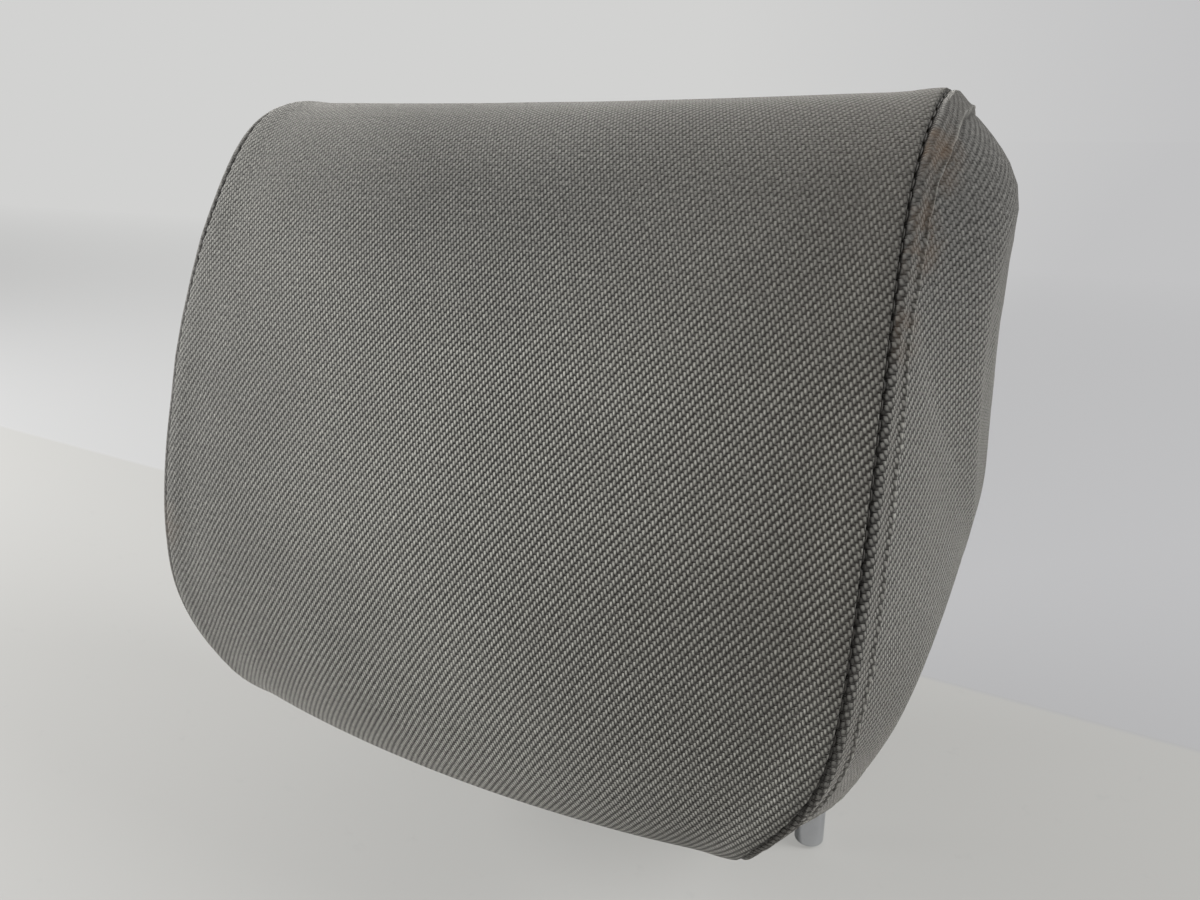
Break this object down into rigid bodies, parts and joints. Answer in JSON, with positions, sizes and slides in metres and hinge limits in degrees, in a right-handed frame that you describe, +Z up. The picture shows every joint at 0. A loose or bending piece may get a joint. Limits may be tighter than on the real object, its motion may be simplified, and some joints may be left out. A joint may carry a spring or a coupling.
{
  "type": "car headrest",
  "caption": "Car seat headrest: a fabric-covered foam cushion with stitched side gussets on a bent chrome post frame.",
  "frame": {"origin": "midway between the two post feet, level with their lower ends", "axes": "+X to the right as the picture sees it, +Y to the back of the cushion, +Z up along the posts"},
  "size_m": [0.261, 0.131, 0.2479],
  "materials": {
    "cover_fabric": "plain woven upholstery cloth",
    "foam": "moulded open-cell foam",
    "chrome_rod": "polished chrome plate",
    "spring_wire": "drawn wire",
    "black_plastic": "satin moulded plastic"
  },
  "bodies": {
    "root": {"post_frame": "chrome_rod", "lower_stiffener_wire": "spring_wire", "upper_stiffener_wire": "spring_wire", "foam_core": "foam", "centre_panel": "cover_fabric", "gusset_left": "cover_fabric", "gusset_right": "cover_fabric", "closure_strip_front": "black_plastic", "closure_strip_rear": "black_plastic", "post_bezel_left": "black_plastic", "post_bezel_right": "black_plastic"}
  },
  "joints": []
}
